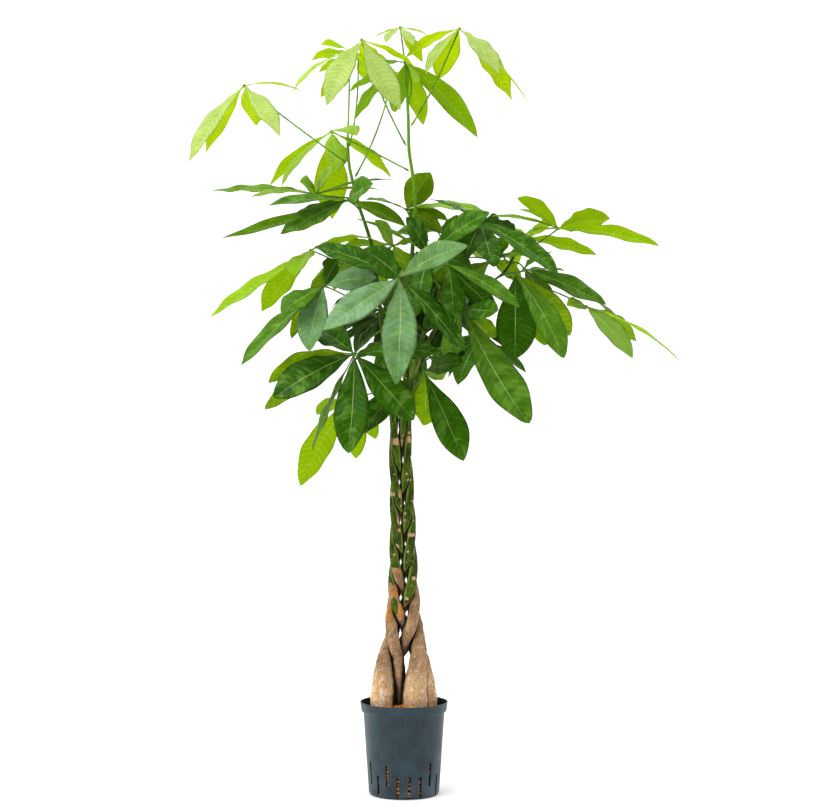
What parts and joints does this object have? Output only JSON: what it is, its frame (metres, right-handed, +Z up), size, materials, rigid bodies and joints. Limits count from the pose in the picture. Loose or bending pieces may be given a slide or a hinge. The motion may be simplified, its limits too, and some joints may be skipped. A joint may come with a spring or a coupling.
{
  "type": "potted money tree",
  "caption": "Tall potted money tree: slender trunks braided above swollen feet, long-stalked hand-shaped leaves in airy tiers, in a tapered slit nursery pot filled with clay granulate.",
  "frame": {"origin": "centre of the flat disc on the pot's underside, where the pot stands", "axes": "+Z up along the trunks; -Y towards the front, the side with the large low leaf; +X towards the side shoot that reaches out furthest"},
  "size_m": [0.9972, 0.6564, 1.5737],
  "materials": {
    "pot": "satin",
    "clay": "matte",
    "bark": "matte",
    "leaf_grown": "satin",
    "leaf_young": "satin"
  },
  "bodies": {
    "root": {"pot": "pot", "clay_granulate": "clay", "trunk_back_left": "bark", "trunk_back_right": "bark", "trunk_left_tall": "bark", "trunk_right_shoot": "bark", "trunk_right_tall": "bark", "leaf_behind_right": "leaf_grown", "leaf_centre_high": "leaf_grown", "leaf_centre_rear": "leaf_grown", "leaf_centre_right": "leaf_grown", "leaf_centre_up": "leaf_grown", "leaf_far_right": "leaf_grown", "leaf_front_star": "leaf_grown", "leaf_inner_left": "leaf_grown", "leaf_left_arch": "leaf_grown", "leaf_left_high": "leaf_grown", "leaf_left_mid": "leaf_grown", "leaf_left_upper": "leaf_grown", "leaf_low_hanging": "leaf_grown", "leaf_low_left": "leaf_grown", "leaf_low_right": "leaf_grown", "leaf_mid_right": "leaf_grown", "leaf_rear_01": "leaf_grown", "leaf_rear_02": "leaf_grown", "leaf_rear_03": "leaf_grown", "leaf_rear_04": "leaf_grown", "leaf_rear_05": "leaf_grown", "leaf_rear_06": "leaf_grown", "leaf_rear_07": "leaf_grown", "leaf_rear_08": "leaf_grown", "leaf_rear_09": "leaf_grown", "leaf_rear_10": "leaf_grown", "leaf_rear_11": "leaf_grown", "leaf_right_front": "leaf_grown", "leaf_right_low": "leaf_grown", "leaf_crown_back_left": "leaf_young", "leaf_crown_back_mid": "leaf_young", "leaf_crown_inner": "leaf_young", "leaf_crown_left": "leaf_young", "leaf_crown_mid_left": "leaf_young", "leaf_crown_right": "leaf_young", "leaf_crown_tip": "leaf_young", "leaf_crown_top_left": "leaf_young", "leaf_crown_top_right": "leaf_young", "leaf_shoot_back": "leaf_young", "leaf_shoot_right": "leaf_young", "leaf_shoot_tip": "leaf_young"}
  },
  "joints": []
}
